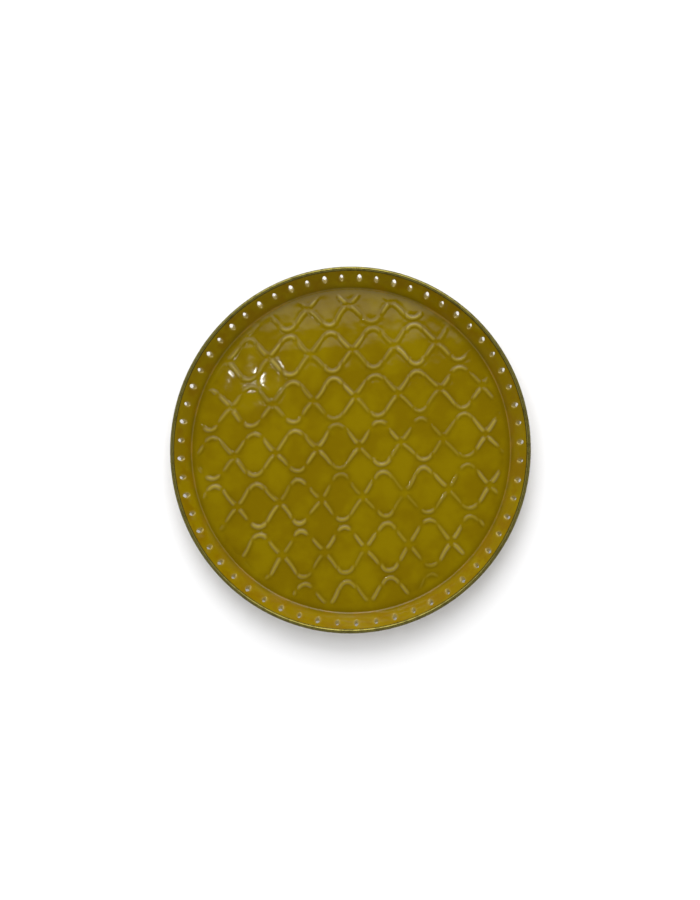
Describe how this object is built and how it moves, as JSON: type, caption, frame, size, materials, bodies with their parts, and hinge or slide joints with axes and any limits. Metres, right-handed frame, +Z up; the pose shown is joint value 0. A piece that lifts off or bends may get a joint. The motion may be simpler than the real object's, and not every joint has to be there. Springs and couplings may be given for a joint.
{
  "type": "ceramic plate",
  "caption": "Shallow round glazed plate with a flat patterned floor, a low flared wall pierced by a row of 58 small holes, and a dark metal-lustre band on the lip.",
  "frame": {"origin": "on the surface the plate stands on, under the middle of the plate", "axes": "+Z up out of the dish; +Y along the plate's slightly longer diameter; +X along the shorter one"},
  "size_m": [0.27, 0.2748, 0.022],
  "materials": {
    "glaze": "glossy olive-mustard glaze over an embossed floor, lining the pierced holes",
    "clay": "bare fired clay on the foot ring and the underside",
    "lustre": "dark, worn metal lustre on the lip"
  },
  "bodies": {
    "root": {"clay_body": "clay", "glaze_coat": "glaze", "lip_band": "lustre"}
  },
  "joints": []
}
